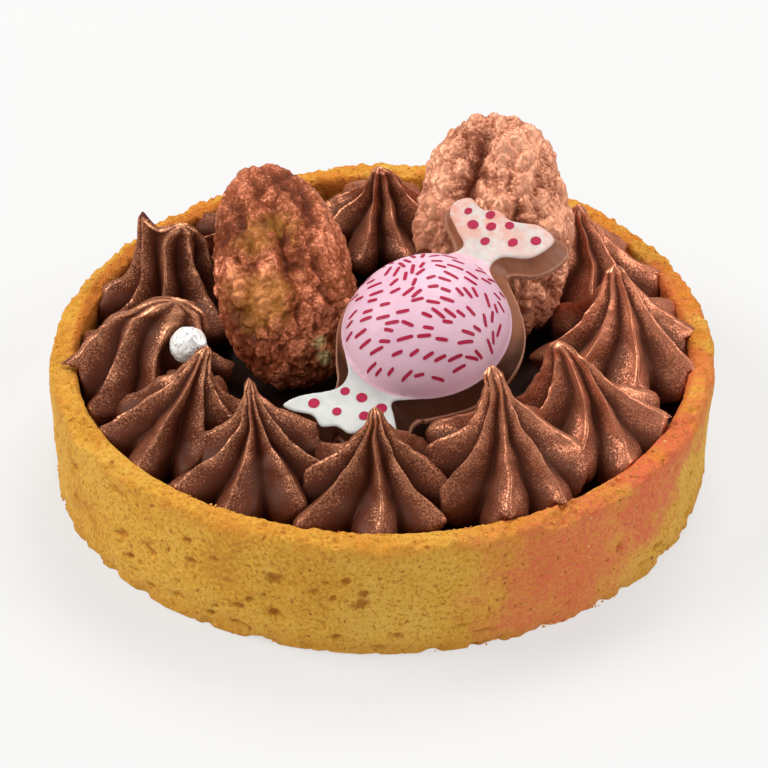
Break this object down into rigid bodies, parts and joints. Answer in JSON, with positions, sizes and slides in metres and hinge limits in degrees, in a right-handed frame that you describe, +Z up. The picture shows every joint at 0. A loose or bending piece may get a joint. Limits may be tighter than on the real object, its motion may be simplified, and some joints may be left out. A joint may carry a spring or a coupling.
{
  "type": "pecan tart",
  "caption": "Round chocolate pecan tartlet in a shortcrust shell, with piped ganache stars, sugared pecan halves, a moulded chocolate sweet and a silver sugar pearl.",
  "frame": {"origin": "middle of the flat underside of the shell", "axes": "+Z up out of the filling, -Y towards the front, where the moulded sweet faces, +X to the right"},
  "size_m": [0.0894, 0.0919, 0.0379],
  "materials": {
    "shortcrust": "baked, crumbly and matt, golden brown",
    "ganache_filling": "smooth dark chocolate ganache, slight sheen",
    "piped_ganache": "milk chocolate ganache dusted with copper lustre",
    "candied_pecan": "brown sugared nut with a bronze dust",
    "copper_pecan": "sugared nut under bright copper lustre",
    "printed_chocolate": "moulded chocolate with a pink and white printed face",
    "silver_sugar": "rough silvered sugar"
  },
  "bodies": {
    "root": {"crust": "shortcrust", "filling": "ganache_filling", "star_front": "piped_ganache", "star_front_right": "piped_ganache", "star_right_front": "piped_ganache", "star_right": "piped_ganache", "star_right_back": "piped_ganache", "star_back_right": "piped_ganache", "star_back": "piped_ganache", "star_back_left": "piped_ganache", "star_left_back": "piped_ganache", "star_left": "piped_ganache", "star_left_front": "piped_ganache", "star_front_left": "piped_ganache", "pecan_left": "candied_pecan", "pecan_right": "copper_pecan", "sweet": "printed_chocolate", "silver_pearl": "silver_sugar"}
  },
  "joints": []
}
